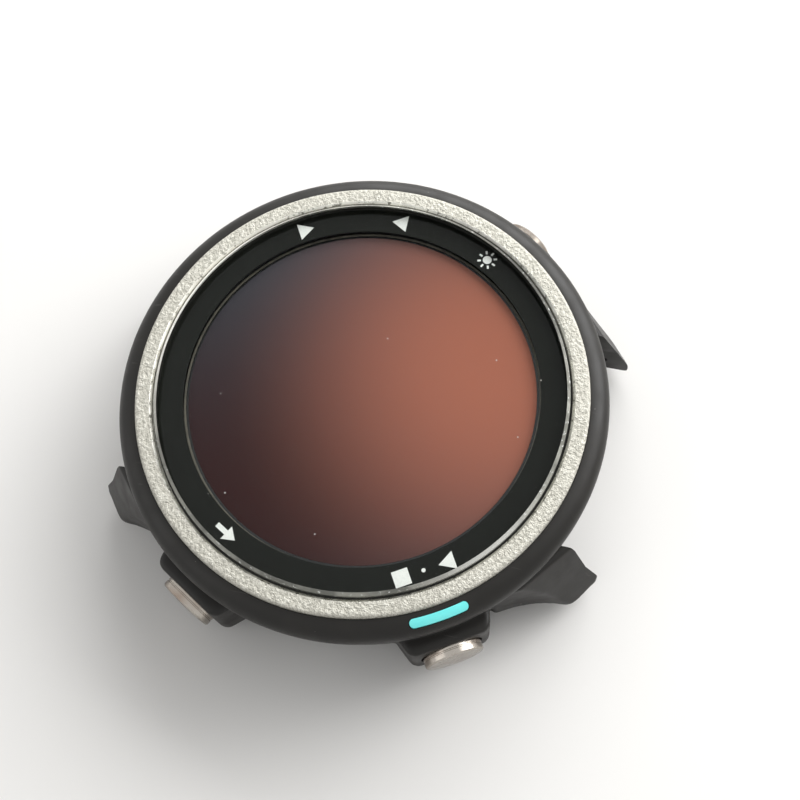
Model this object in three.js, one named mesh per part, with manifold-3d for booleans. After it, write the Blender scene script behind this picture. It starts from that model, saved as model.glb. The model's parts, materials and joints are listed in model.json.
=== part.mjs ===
// A round wrist computer head, without its strap: polymer case with four strap lugs, upper shell,
// grey bezel ring, cover glass over a round display, five sprung side buttons, battery, boards,
// vibration motor and the optical pulse sensor under the rear window.
//
// Millimetres. The origin is the centre of the rear window's flat face, which the head rests on.
// +Z points out of the display, +Y to twelve o'clock and +X to three o'clock.
import * as THREE from "three";
import { mergeVertices } from "three/addons/utils/BufferGeometryUtils.js";
import Module from "manifold-3d";

// ---- Driving dimensions ----

// Overall
const shellR = 21.15; // widest radius of the upper shell
const height = 12.2; // rest face to the top of the glass
const strapWidth = 20; // between the inner faces of a pair of lugs, at the spring bar
const lugReach = 1.35; // lug tip beyond the shell
const lugWidth = 3; // widest part of a lug past its inner face
const lugDraft = 0.4; // how far the inner face leans in at its top
const lugShelf = 0.9; // level part of the ridge outside the shell
const lugSlope = [1.7, 2.05, 1]; // direction that the sloping flank of a lug faces
const lugNose = 0.4; // rounding of a lug's tip
const lugFoot = 0.4; // foot of a lug below the case's lower edge
const endInset = 1.9; // end face of a lug, inside its tip
const endRounding = 0.9; // from the end face into the outer side
const waistInset = 5.3; // where the outer side starts to flare towards the barrel
const rootInset = 8.3; // where a lug runs out into the barrel
const rootFlare = 1.9; // how far a lug spreads there
const seam = 0.02; // between faces that rest on each other
const fit = 0.15; // between a piece and the pocket or bore it is set in

// Front stack, from the glass down
const glassThickness = 0.75;
const glassChamfer = 0.28;
const maskThickness = 0.12;
const maskWidth = 2.43; // printed border, from the glass edge to the window
const bondThickness = 0.17;
const bondWidth = 1;
const panelDrop = 0.55; // display below the printed border
const panelThickness = 0.7;
const backlightThickness = 0.5;
const carrierFloor = 0.5;
const carrierRim = 6; // width of the carrier's ring-shaped floor
const flexWidth = 6;
const flexThickness = 0.15;
const grooveWidth = 0.22; // between the glass and the bezel ring
const bezelWidth = 1.48;
const bezelDrop = 0.32; // top of the ring below the glass
const bezelSink = 0.2; // the ring's seat below the glass ledge
const shoulderWidth = 1.75; // shell outside the ring
const shoulderHeight = 1.55; // curved shoulder, from its widest line up
const shoulderDrop = 0.75; // top of the shoulder below the glass
const shellHeight = 3; // parting line to the top of the glass
const lipWidth = 0.45;
const lipDepth = 0.8; // lip that locates the shell in the case
const glassSeat = 1.4; // ledge under the edge of the glass

// Case
const undercut = 0.55; // case inside the shell
const footMargin = 1.3; // flat foot of the case round the rear cover's bore
const barrelLean = 1.1; // how far the case leans in at its foot
const footZ = 1.3; // lower edge of the case
const cavityGap = 0.1; // case cavity outside the shell's bore
const rearLedge = 0.6; // ledge that the rear cover closes against
const strapWall = 1.2; // case wall behind the strap's end
const springBarR = 0.55;
const springBarDepth = 1.2;
const springBarInset = 2.6; // from the lug tip
const springBarZ = 3;
const recessStep = 2; // where the strap's recess starts to lean in, above the spring bar

// Rear
const windowThickness = 1;
const bumpZ = 0.25; // rim of the sensor bump
const bumpRim = 1.8; // rim around the window
const bumpSlope = 2.2;
const coverZ = 1.2;
const coverThickness = 1.15;
const gasketThickness = 0.2;
const screwShankR = 0.6;
const screwHeadR = 1.3;
const screwHeadHeight = 0.7;
const screwLength = 3.4;
const bossR = 1.6;
const bossInset = 1.8; // screw axis inside the cavity wall
const screwAngles = [60, 120, 240, 300];
const socketR = 0.6;
const socketDepth = 0.45;
const contactPitch = 2.2;
const contactR = 0.75;
const contactInset = 3.1; // contact row inside the edge of the cover
const ledSize = 1.5;
const ledPitch = 2.4;
const ledHeight = 0.5;
const diodeWidth = 1.6; // and twice as long
const diodeInset = 1.9; // photodiode's middle inside the edge of its board

// Electronics
const boardThickness = 0.6;
const chipRoom = 1.2; // tallest chip on the board
const motorR = 4;
const motorThickness = 2.7;
const shieldSize = [9, 8];
const shieldAt = [-4, 4];
const receiverSize = [5, 5];
const receiverAt = [5.5, -2];
const antennaInset = 0.35; // antenna band inside the cavity wall
const antennaWidth = 0.4;
const antennaGap = 3; // where the band is open
const frameWall = 0.6;
const frameLift = 0.6; // frame above the rear seat

// Buttons, each on its own radius at its own angle
const buttonAngles = { start: 30.7, back: -31.5, light: 150, up: 180, down: 210 };
const guardReach = 0.95; // housing beyond the shell
const guardWall = 0.45; // housing above and below the cap
const guardLift = 0.15; // housing above the case's lower edge
const guardDrop = 1.4; // top of the housing below the parting line
const guardBevel = 0.3;
const guardNose = 0.5; // rounding of the housing's corners
const guardBend = 0.9; // where the housing starts to narrow, inside the case's radius
const guardSlant = 0.35; // how far its side falls in over that rounding
const guardFoot = 1.5; // housing beside the cap at the case
const guardTip = 0.55; // housing beside the cap at its face
const capProud = 1;
const capDome = 0.12; // middle of the face beyond its edge
const capEdge = 0.22; // chamfer round the face
const capThickness = 1.6;
const capSkirt = 0.35;
const springRoom = 0.6; // depth of the spring's recess in the cap
const springWire = 0.15; // its radius
const springTurns = 2.25;
const counterbore = 1.8;
const travel = 0.7;
const stemR = 1.1;
const sealWire = 0.24;
const sealGrooveR = 0.76;
const clipGrooveR = 0.8;
const clipThickness = 0.3;
const clipOuterR = 1.9;
const pinR = 0.55;
const switchDepth = 2;
const switchWidth = 4.2;
const switchDrop = 1.2; // lower face of the switch below the press axis

// Colour bar on the shell beside the start button
const accentAngle = 30;
const accentInset = 0.9; // middle of the bar, inside the widest line
const accentDrop = 1.15; // where the bar's pocket starts, below the glass
const accentWidth = 0.7;
const accentSpan = 14; // degrees, over its round ends
const accentDepth = 0.4;
const accentProud = 0.05;
const accentFit = 0.06; // between the bar and its pocket

// Facets
const round = 40; // large turned pieces that show
const inner = 28; // turned pieces inside
const small = 12; // stems, bores and screws
const boreFacets = 16; // the buttons' holes

// ---- Levels and radii that follow from them ----

const glassZ = height - glassThickness;
const maskZ = glassZ - seam - maskThickness;
const bondZ = maskZ - seam - bondThickness;
const ledgeZ = bondZ - seam;
const bezelTop = height - bezelDrop;
const bezelSeat = ledgeZ - bezelSink;
const panelTop = maskZ - panelDrop;
const panelZ = panelTop - panelThickness;
const backlightTop = panelZ - seam;
const backlightZ = backlightTop - backlightThickness;
const carrierZ = backlightZ - seam - carrierFloor;
const partingZ = height - shellHeight;
const caseTop = partingZ - seam;
const lipZ = partingZ - lipDepth;

const coverTop = coverZ + coverThickness;
const gasketZ = coverTop + seam;
const rearSeatZ = gasketZ + gasketThickness + seam;
const frameZ = rearSeatZ + frameLift;
const boardTop = carrierZ - chipRoom - 0.25;
const boardZ = boardTop - boardThickness;
const frameTop = boardZ - 0.3;
const bossTop = boardZ - 0.5;

const bezelOuterR = shellR - shoulderWidth;
const bezelInnerR = bezelOuterR - bezelWidth;
const glassR = bezelInnerR - grooveWidth;
const maskInnerR = glassR - maskWidth;
const maskOuterR = glassR - 0.25;
const panelR = maskInnerR + 0.1;
const shellBoreR = glassR - glassSeat;
const lipR = shellBoreR + lipWidth;
const carrierR = shellBoreR - fit;
const caseR = shellR - undercut;
const cavityR = shellBoreR + cavityGap;
const coverR = cavityR + rearLedge;
const rearBoreR = coverR + 0.1;
const strapWallY = rearBoreR + strapWall;
const lugTipY = shellR + lugReach;
const lugX = strapWidth / 2;
const bossAt = cavityR - bossInset;
const bumpOuterR = bossAt - 2;
const bumpR = bumpOuterR - bumpSlope;
const windowR = bumpR - bumpRim;
const contactY = -(coverR - contactInset);

const guardZ = footZ + guardLift;
const guardTop = partingZ - guardDrop;
const buttonZ = (guardZ + guardTop) / 2;
const capR = (guardTop - guardZ) / 2 - guardWall - fit;
const counterboreR = capR + fit;
const guardR = shellR + guardReach;
const counterboreFloor = guardR - counterbore;
const capFace = guardR + capProud;
const capBack = capFace - capThickness;
const springSeat = capBack + springRoom;
const spotFace = cavityR + 0.2;
const clipIn = spotFace - 0.05 - clipThickness;
const stemEnd = clipIn - 0.35;
const switchFace = stemEnd - travel - 0.3;
const switchBack = switchFace - switchDepth;
const boreR = stemR + 0.2;
const sealR = sealGrooveR + 0.02 + sealWire;
const sealAt = (spotFace + counterboreFloor) / 2;
const switchZ = buttonZ - switchDrop;

const root = new THREE.Group();

// ---- Finishes ----

const finish = (color, roughness, metalness = 0) => ({ color, roughness, metalness });
const blackPolymer = finish(0x262524, 0.55);
const greyPaint = finish(0x8d8a84, 0.45, 0.35);
const polishedSteel = finish(0xc9c4bb, 0.18, 1);
const satinSteel = finish(0x9b9b9b, 0.4, 1);
const blackRubber = finish(0x151515, 0.8);
const boardGreen = finish(0x16402c, 0.55);
const gold = finish(0xc9a24a, 0.3, 1);

// ---- Shapes ----

const wasm = await Module();
wasm.setup();
const degrees = Math.PI / 180;

// A closed geometry as a solid that can be joined and cut.
function solid(geometry) {
  const bare = geometry.clone();
  bare.deleteAttribute("normal");
  bare.deleteAttribute("uv");
  const merged = mergeVertices(bare, 1e-4);
  const vertProperties = new Float32Array(merged.attributes.position.array);
  const triVerts = new Uint32Array(merged.index.array);
  return new wasm.Manifold(new wasm.Mesh({ numProp: 3, vertProperties, triVerts }));
}

// The finished solid as a geometry with flat faces.
function carved(made) {
  const mesh = made.getMesh();
  const geometry = new THREE.BufferGeometry();
  const points = new THREE.BufferAttribute(mesh.vertProperties, mesh.numProp);
  geometry.setAttribute("position", points);
  geometry.setIndex(new THREE.BufferAttribute(mesh.triVerts, 1));
  const flat = geometry.toNonIndexed();
  flat.computeVertexNormals();
  return flat;
}

// A profile of [radius, z] points turned about Z: counter-clockwise with z up and radius to the
// right. A profile off the axis is a ring and closes on itself.
function turned(profile, facets = round) {
  const points = profile.map(([r, z]) => new THREE.Vector2(r, z));
  if (profile[0][0] > 0) points.push(points[0].clone());
  return new THREE.LatheGeometry(points, facets).rotateX(Math.PI / 2);
}

// A ring with a square section.
function ring(innerR, outerR, z0, z1, facets = round) {
  const profile = [
    [innerR, z0],
    [outerR, z0],
    [outerR, z1],
    [innerR, z1],
  ];
  return turned(profile, facets);
}

// A disc or a plain cylinder along Z.
function disc(r, z0, z1, facets = round) {
  const profile = [
    [0, z0],
    [r, z0],
    [r, z1],
    [0, z1],
  ];
  return turned(profile, facets);
}

// A plan outline raised from z0 to z1, with its edges rounded by bevel.
function raised(shape, z0, z1, bevel = 0) {
  const options = {
    depth: z1 - z0 - 2 * bevel,
    curveSegments: 4,
    bevelEnabled: bevel > 0,
    bevelThickness: bevel,
    bevelSize: bevel,
    bevelOffset: -bevel,
    bevelSegments: 2,
  };
  return new THREE.ExtrudeGeometry(shape, options).translate(0, 0, z0 + bevel);
}

// A rectangle with round corners, about its own centre.
function roundedRectangle(width, depth, corner) {
  const x = width / 2;
  const y = depth / 2;
  const shape = new THREE.Shape();
  shape.moveTo(-x + corner, -y);
  shape.lineTo(x - corner, -y);
  shape.quadraticCurveTo(x, -y, x, -y + corner);
  shape.lineTo(x, y - corner);
  shape.quadraticCurveTo(x, y, x - corner, y);
  shape.lineTo(-x + corner, y);
  shape.quadraticCurveTo(-x, y, -x, y - corner);
  shape.lineTo(-x, -y + corner);
  shape.quadraticCurveTo(-x, -y, -x + corner, -y);
  return shape;
}

// A box between two corners.
function block(low, high) {
  const size = high.map((value, i) => value - low[i]);
  const middle = high.map((value, i) => (value + low[i]) / 2);
  return new THREE.BoxGeometry(...size).translate(...middle);
}

// A piece in the button frame: X runs out along the press axis, from the watch centre.
function toButton(geometry, angle) {
  return geometry.rotateZ(angle * degrees).translate(0, 0, buttonZ);
}

// A profile of [radius, distance] points turned about the press axis.
function turnedOnAxis(profile, facets = small) {
  return turned(profile, facets).rotateY(Math.PI / 2);
}

function add(name, geometry, look, parent = root) {
  const mesh = new THREE.Mesh(geometry, new THREE.MeshStandardMaterial(look));
  mesh.name = name;
  parent.add(mesh);
  return mesh;
}

// ---- Case ----

// The barrel leans in towards its foot, so the shell's edge overhangs it.
function barrel() {
  const profile = [
    [0, footZ],
    [rearBoreR + footMargin, footZ],
    [caseR - barrelLean, footZ + 0.5],
    [caseR - 0.4, footZ + 2.2],
    [caseR - 0.1, footZ + 4.6],
    [caseR, caseTop],
    [0, caseTop],
  ];
  return solid(turned(profile));
}

// One button housing: a block that narrows towards the cap.
function guard(angle) {
  const foot = capR + fit + guardFoot;
  const tip = capR + fit + guardTip;
  const shape = new THREE.Shape();
  shape.moveTo(cavityR, -foot);
  shape.lineTo(caseR - guardBend, -foot);
  shape.lineTo(guardR - guardNose, -tip - guardSlant);
  shape.quadraticCurveTo(guardR, -tip, guardR, -tip + guardNose);
  shape.lineTo(guardR, tip - guardNose);
  shape.quadraticCurveTo(guardR, tip, guardR - guardNose, tip + guardSlant);
  shape.lineTo(caseR - guardBend, foot);
  shape.lineTo(cavityR, foot);
  const housing = raised(shape, guardZ, guardTop, guardBevel);
  return solid(housing.rotateZ(angle * degrees));
}

// One strap lug at +X +Y: its plan outline crossed with its side outline, under a roof that falls
// from the ridge along the strap to the tip and to the outer side.
function lug() {
  const endY = lugTipY - endInset;
  const rootY = lugTipY - rootInset;
  const buried = rootY - 4;
  const outerX = lugX + lugWidth;
  const sideX = outerX - 0.1;
  const plan = new THREE.Shape();
  plan.moveTo(lugX - 1, buried);
  plan.lineTo(lugX - 1, lugTipY);
  plan.lineTo(lugX + 0.1, lugTipY);
  plan.quadraticCurveTo(lugX + lugNose, lugTipY, lugX + 2 * lugNose, lugTipY - lugNose);
  plan.lineTo(outerX - 0.7, endY + 0.5);
  plan.quadraticCurveTo(sideX, endY, sideX, endY - endRounding);
  plan.quadraticCurveTo(outerX, lugTipY - waistInset, outerX + rootFlare, rootY);
  plan.lineTo(lugX, buried);
  const side = new THREE.Shape();
  const topZ = partingZ - 0.2;
  const soleZ = footZ - lugFoot;
  side.moveTo(buried, footZ + lugFoot);
  side.lineTo(lugTipY - 3.6, footZ);
  side.quadraticCurveTo(lugTipY - 1.4, soleZ, lugTipY - 0.5, soleZ + 0.1);
  side.quadraticCurveTo(lugTipY, soleZ + 0.2, lugTipY, footZ + 0.7);
  side.lineTo(lugTipY, topZ);
  side.lineTo(buried, topZ);
  const column = solid(raised(plan, 0, height));
  const reach = outerX + 3;
  const wedge = raised(side, 0, reach).rotateY(Math.PI / 2).rotateX(Math.PI / 2);
  return column.intersect(solid(wedge)).subtract(lugRoof());
}

// The space above the roof: a block standing on the slanted plane.
function lugRoof() {
  const edgeY = Math.sqrt(shellR * shellR - lugX * lugX);
  const ridge = new THREE.Vector3(lugX - lugDraft, edgeY + lugShelf, partingZ - 0.1);
  const normal = new THREE.Vector3(...lugSlope).normalize();
  const tilt = new THREE.Quaternion().setFromUnitVectors(new THREE.Vector3(0, 0, 1), normal);
  const size = 2 * shellR;
  const above = block([-size, -size, 0], [size, size, size]).applyQuaternion(tilt);
  return solid(above.translate(ridge.x, ridge.y, ridge.z));
}

// The gap that a strap's end fits between two lugs, as wide as the strap at its spring bar.
function strapRecess(side) {
  const wide = lugX;
  const narrow = lugX - lugDraft;
  const outline = new THREE.Shape();
  outline.moveTo(-wide, -1);
  outline.lineTo(wide, -1);
  outline.lineTo(wide, springBarZ + recessStep);
  outline.lineTo(narrow, partingZ - 1);
  outline.lineTo(narrow, height);
  outline.lineTo(-narrow, height);
  outline.lineTo(-narrow, partingZ - 1);
  outline.lineTo(-wide, springBarZ + recessStep);
  const gap = raised(outline, strapWallY, lugTipY + 1).rotateX(Math.PI / 2);
  return solid(side > 0 ? gap.rotateZ(Math.PI) : gap);
}

// The hole along one button's axis: counterbore for the cap, bore for the stem and seal, and a
// spot face inside the wall for the retaining clip.
function buttonHole(angle) {
  const profile = [
    [0, stemEnd - 2],
    [clipOuterR + 0.4, stemEnd - 2],
    [clipOuterR + 0.4, spotFace],
    [boreR, spotFace],
    [boreR, counterboreFloor],
    [counterboreR, counterboreFloor],
    [counterboreR, guardR + 1],
    [0, guardR + 1],
  ];
  return solid(toButton(turnedOnAxis(profile, boreFacets), angle));
}

// The hollow for the electronics, with the rear cover's recess and the shell lip's step.
function cavity() {
  const profile = [
    [0, footZ - 1],
    [rearBoreR, footZ - 1],
    [rearBoreR, rearSeatZ],
    [cavityR, rearSeatZ],
    [cavityR, lipZ - fit],
    [lipR + fit, lipZ - fit],
    [lipR + fit, partingZ + 1],
    [0, partingZ + 1],
  ];
  return solid(turned(profile));
}

// One screw boss, joined to the cavity wall by a web.
function boss(angle) {
  const post = solid(disc(bossR, rearSeatZ, bossTop, small).translate(bossAt, 0, 0));
  const low = [bossAt, -bossR * 0.75, rearSeatZ];
  const high = [cavityR + 0.3, bossR * 0.75, bossTop];
  const joined = post.add(solid(block(low, high)));
  return joined.rotate([0, 0, angle]);
}

// The threaded hole in one boss.
function bossHole(angle) {
  const depth = screwLength + coverZ + 0.4;
  const hole = disc(screwShankR + fit, rearSeatZ - 1, depth, small);
  return solid(hole.translate(bossAt, 0, 0).rotateZ(angle * degrees));
}

function caseBody() {
  const quarter = lug();
  let body = barrel();
  for (const sx of [1, -1]) {
    for (const sy of [1, -1]) body = body.add(quarter.scale([sx, sy, 1]));
  }
  for (const angle of Object.values(buttonAngles)) {
    body = body.add(guard(angle));
  }
  for (const side of [1, -1]) {
    body = body.subtract(strapRecess(side));
    const reach = lugX + springBarDepth;
    const bar = disc(springBarR, -reach, reach, small).rotateY(Math.PI / 2);
    bar.translate(0, side * (lugTipY - springBarInset), springBarZ);
    body = body.subtract(solid(bar));
  }
  body = body.subtract(cavity());
  for (const angle of screwAngles) {
    body = body.add(boss(angle)).subtract(bossHole(angle));
  }
  for (const angle of Object.values(buttonAngles)) {
    body = body.subtract(buttonHole(angle));
  }
  return carved(body);
}

// ---- Upper shell, bezel ring and colour bar ----

// The curved shoulder is a quarter ellipse from the ring's edge to the widest line.
function shellProfile() {
  const shoulder = [];
  const landR = bezelOuterR + 0.06;
  const centreR = landR - 0.2;
  const centreZ = height - shoulderDrop - shoulderHeight;
  for (const turn of [0, 15, 30, 45, 60, 75]) {
    const r = centreR + (shellR - centreR) * Math.cos(turn * degrees);
    const z = centreZ + shoulderHeight * Math.sin(turn * degrees);
    shoulder.push([r, z]);
  }
  return [
    [shellBoreR, lipZ],
    [lipR, lipZ],
    [lipR, partingZ],
    [shellR - 0.2, partingZ],
    [shellR - 0.05, partingZ + 0.2],
    ...shoulder,
    [landR, centreZ + shoulderHeight],
    [landR, bezelSeat],
    [bezelInnerR, bezelSeat],
    [bezelInnerR, ledgeZ],
    [shellBoreR, ledgeZ],
  ];
}

// A bar bent round the centre, with round ends, standing on the z levels given.
function accentBar(grow, z0, z1) {
  const middle = shellR - accentInset;
  const half = accentWidth / 2 + grow;
  const endR = accentWidth / 2;
  const turn = (accentSpan / 2) * degrees - endR / middle;
  const end = new THREE.Vector2(middle, 0).rotateAround(new THREE.Vector2(), turn);
  const shape = new THREE.Shape();
  shape.absarc(0, 0, middle + half, -turn, turn, false);
  shape.absarc(end.x, end.y, half, turn, turn + Math.PI, false);
  shape.absarc(0, 0, middle - half, turn, -turn, true);
  shape.absarc(end.x, -end.y, half, Math.PI - turn, 2 * Math.PI - turn, false);
  return solid(raised(shape, z0, z1).rotateZ(accentAngle * degrees));
}

function addShell() {
  const shell = solid(turned(shellProfile()));
  const floor = height - accentDrop - accentDepth;
  const pocket = accentBar(accentFit, floor - 0.05, height + 1);
  add("upper_shell", carved(shell.subtract(pocket)), blackPolymer);
  const bar = accentBar(0, floor, height).intersect(shell.translate([0, 0, accentProud]));
  add("accent_bar", carved(bar), finish(0x53d3d8, 0.4));
  const bezel = [
    [bezelInnerR, bezelSeat + seam],
    [bezelOuterR, bezelSeat + seam],
    [bezelOuterR, bezelTop - 0.28],
    [bezelOuterR - 0.1, bezelTop - 0.08],
    [bezelOuterR - 0.3, bezelTop],
    [bezelInnerR + 0.1, bezelTop],
    [bezelInnerR, bezelTop - 0.1],
  ];
  add("bezel_ring", turned(bezel), greyPaint);
}

// ---- Glass and display ----

function addFrontStack() {
  const glass = [
    [0, glassZ],
    [glassR, glassZ],
    [glassR, height - glassChamfer],
    [glassR - glassChamfer, height],
    [0, height],
  ];
  add("cover_glass", turned(glass), finish(0x11120f, 0.06));
  const border = ring(maskInnerR, maskOuterR, maskZ, glassZ - seam, inner);
  add("glass_border", border, finish(0x1c1e1b, 0.35));
  const bond = ring(maskOuterR - bondWidth, maskOuterR, bondZ, maskZ - seam, inner);
  add("glass_bond", bond, blackRubber);
  add("display_panel", disc(panelR, panelZ, panelTop, inner), finish(0x4a3638, 0.25));
  const flat = block([-panelR, -panelR - 1, 0], [panelR, 1.35 - panelR, height]);
  const light = solid(disc(panelR, backlightZ, backlightTop, inner)).subtract(solid(flat));
  add("display_backlight", carved(light), finish(0xd8d8d2, 0.5));
  const wallR = panelR + fit;
  const tray = [
    [carrierR - carrierRim, carrierZ],
    [carrierR, carrierZ],
    [carrierR, panelTop],
    [wallR, panelTop],
    [wallR, carrierZ + carrierFloor],
    [carrierR - carrierRim, carrierZ + carrierFloor],
  ];
  const carrier = solid(turned(tray, inner));
  const half = flexWidth / 2 + 2 * fit;
  const slot = block([-half, -panelR + 0.2, 0], [half, -panelR + 1.2, height]);
  add("display_carrier", carved(carrier.subtract(solid(slot))), finish(0x2b2c2e, 0.5));
}

// The flat cable runs from under the panel, down through the carrier, to the main board.
function addDisplayFlex() {
  const outY = -panelR + 0.5;
  const topZ = panelZ - seam;
  const padZ = boardTop + seam;
  const side = new THREE.Shape();
  side.moveTo(outY, padZ);
  side.lineTo(outY + 2.2, padZ);
  side.lineTo(outY + 2.2, padZ + flexThickness);
  side.lineTo(outY + flexThickness, padZ + flexThickness);
  side.lineTo(outY + flexThickness, topZ - flexThickness);
  side.lineTo(outY + 0.6, topZ - flexThickness);
  side.lineTo(outY + 0.6, topZ);
  side.lineTo(outY, topZ);
  const cable = raised(side, -flexWidth / 2, flexWidth / 2).rotateY(Math.PI / 2).rotateX(Math.PI / 2);
  add("display_flex", cable, finish(0xa0662c, 0.45));
}

// ---- Boards, battery and motor ----

function addElectronics() {
  const board = solid(disc(cavityR - 0.6, boardZ, boardTop, inner));
  const hole = solid(disc(1, 0, height, small).translate(0, cavityR - 2.4, 0));
  add("main_board", carved(board.subtract(hole)), boardGreen);
  const chipZ = boardTop + seam;
  const shield = raised(roundedRectangle(...shieldSize, 0.6), chipZ, chipZ + chipRoom);
  add("processor_shield", shield.translate(...shieldAt, 0), satinSteel);
  const receiver = raised(roundedRectangle(...receiverSize, 0.4), chipZ, chipZ + chipRoom - 0.2);
  add("gps_receiver", receiver.translate(...receiverAt, 0), satinSteel);

  const antennaR = cavityR - antennaInset;
  const bandInnerR = antennaR - antennaWidth;
  const band = solid(ring(bandInnerR, antennaR, boardTop + 0.05, carrierZ - 0.1, inner));
  const gap = solid(block([-antennaGap / 2, 0, 0], [antennaGap / 2, shellR, height]));
  add("antenna_ring", carved(band.subtract(gap)), gold);
}

// The battery fills the frame between the button switches, the rear bosses and the motor.
const switchCorner = switchBack - frameWall - 0.3;
const cornerX = switchCorner * Math.cos(buttonAngles.start * degrees);
const cornerDrop = (switchWidth / 2 + 0.3) * Math.sin(buttonAngles.start * degrees);
const batteryX = cornerX - cornerDrop - fit;
const motorY = -(cavityR - motorR - 0.8);
const batteryLow = motorY + motorR + frameWall + 2 * fit;
const bossY = bossAt * Math.sin(screwAngles[0] * degrees) - bossR;
const batteryHigh = bossY - frameWall - 2 * fit - 0.3;

function addBatteryAndFrame() {
  const middleY = (batteryLow + batteryHigh) / 2;
  const depth = batteryHigh - batteryLow;
  const cell = raised(roundedRectangle(2 * batteryX, depth, 1.2), frameZ, boardZ - 0.1, 0.3);
  add("battery", cell.translate(0, middleY, 0), finish(0x9aa0a6, 0.35, 0.6));

  let frame = solid(disc(cavityR - 1, frameZ + 0.1, frameTop, inner));
  const pocketShape = roundedRectangle(2 * (batteryX + fit), depth + 2 * fit, 1.3);
  frame = frame.subtract(solid(raised(pocketShape, 0, height).translate(0, middleY, 0)));
  frame = frame.subtract(solid(disc(motorR + fit, 0, height, 24).translate(0, motorY, 0)));
  for (const angle of screwAngles) {
    const low = [bossAt - bossR - 0.3, -bossR - 0.3, 0];
    const notch = block(low, [shellR, bossR + 0.3, height]);
    frame = frame.subtract(solid(notch.rotateZ(angle * degrees)));
  }
  for (const angle of Object.values(buttonAngles)) {
    const half = switchWidth / 2 + 0.3;
    const notch = block([switchBack - 0.3, -half, 0], [shellR, half, height]);
    frame = frame.subtract(solid(notch.rotateZ(angle * degrees)));
  }
  add("inner_frame", carved(frame), finish(0x3a3d40, 0.6));

  const can = [
    [0, frameZ],
    [motorR - 0.2, frameZ],
    [motorR, frameZ + 0.2],
    [motorR, frameZ + motorThickness],
    [0, frameZ + motorThickness],
  ];
  add("vibration_motor", turned(can, 18).translate(0, motorY, 0), satinSteel);
}

// ---- Rear: sensor, cover, gasket, contacts and screws ----

const sensorBoardR = windowR - 0.7;
const sensorRecessZ = windowThickness + 0.75;

function addSensor() {
  const window = [
    [0, 0],
    [windowR - 0.25, 0],
    [windowR, 0.25],
    [windowR, windowThickness],
    [0, windowThickness],
  ];
  add("sensor_window", turned(window, round), finish(0x0d1210, 0.08));
  const boardTopZ = sensorRecessZ + 0.6;
  add("sensor_board", disc(sensorBoardR, sensorRecessZ, boardTopZ, inner), boardGreen);
  const ledTop = sensorRecessZ - seam;
  const half = ledSize / 2;
  [-ledPitch, 0, ledPitch].forEach((y, i) => {
    const led = block([-half, y - half, ledTop - ledHeight], [half, y + half, ledTop]);
    add("green_led_" + (i + 1), led, finish(0x8fd88a, 0.25));
  });
  [1, -1].forEach((side, i) => {
    const x = side * (sensorBoardR - diodeInset);
    const low = [x - diodeWidth / 2, -diodeWidth, ledTop - ledHeight];
    const diode = block(low, [x + diodeWidth / 2, diodeWidth, ledTop]);
    add("photodiode_" + (i + 1), diode, finish(0x20242c, 0.2));
  });
}

function addRearCover() {
  const ledgeR = windowR - 0.55;
  const profile = [
    [windowR + 0.1, bumpZ],
    [bumpR, bumpZ],
    [bumpOuterR, coverZ],
    [coverR, coverZ],
    [coverR, coverTop],
    [sensorBoardR + 0.2, coverTop],
    [sensorBoardR + 0.2, windowThickness + 0.45],
    [ledgeR, windowThickness + 0.45],
    [ledgeR, windowThickness + seam],
    [windowR + 0.1, windowThickness + seam],
  ];
  let cover = solid(turned(profile));
  for (const angle of screwAngles) {
    const hole = [
      [0, 0],
      [screwHeadR + fit, 0],
      [screwHeadR + fit, coverZ + screwHeadHeight],
      [screwShankR + fit, coverZ + screwHeadHeight],
      [screwShankR + fit, coverTop + 1],
      [0, coverTop + 1],
    ];
    const tool = turned(hole, small).translate(bossAt, 0, 0).rotateZ(angle * degrees);
    cover = cover.subtract(solid(tool));
  }
  for (let i = 0; i < 4; i += 1) {
    const x = (i - 1.5) * contactPitch;
    const hole = disc(contactR + 0.1, 0, coverTop + 1, small).translate(x, contactY, 0);
    cover = cover.subtract(solid(hole));
  }
  add("rear_cover", carved(cover), blackPolymer);
  const gasket = ring(cavityR + 0.05, coverR - 0.05, gasketZ, gasketZ + gasketThickness, inner);
  add("rear_gasket", gasket, blackRubber);
}

function addContactsAndScrews() {
  for (let i = 0; i < 4; i += 1) {
    const pin = [
      [0, coverZ - 0.1],
      [contactR, coverZ - 0.1],
      [contactR, coverTop + seam],
      [contactR + 0.25, coverTop + seam],
      [contactR + 0.25, coverTop + 0.2],
      [0, coverTop + 0.2],
    ];
    const x = (i - 1.5) * contactPitch;
    add("charge_contact_" + (i + 1), turned(pin, 14).translate(x, contactY, 0), gold);
  }
  screwAngles.forEach((angle, i) => {
    const headTop = coverZ + screwHeadHeight - seam;
    const shape = [
      [0, coverZ + 0.05],
      [screwHeadR - 0.15, coverZ + 0.05],
      [screwHeadR, coverZ + 0.2],
      [screwHeadR, headTop],
      [screwShankR, headTop],
      [screwShankR, coverZ + screwLength],
      [0, coverZ + screwLength],
    ];
    const socket = solid(disc(socketR, 0, coverZ + 0.05 + socketDepth, 6));
    const screw = carved(solid(turned(shape, small)).subtract(socket));
    screw.translate(bossAt, 0, 0).rotateZ(angle * degrees);
    add("rear_screw_" + (i + 1), screw, satinSteel);
  });
}

// ---- Buttons ----

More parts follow.
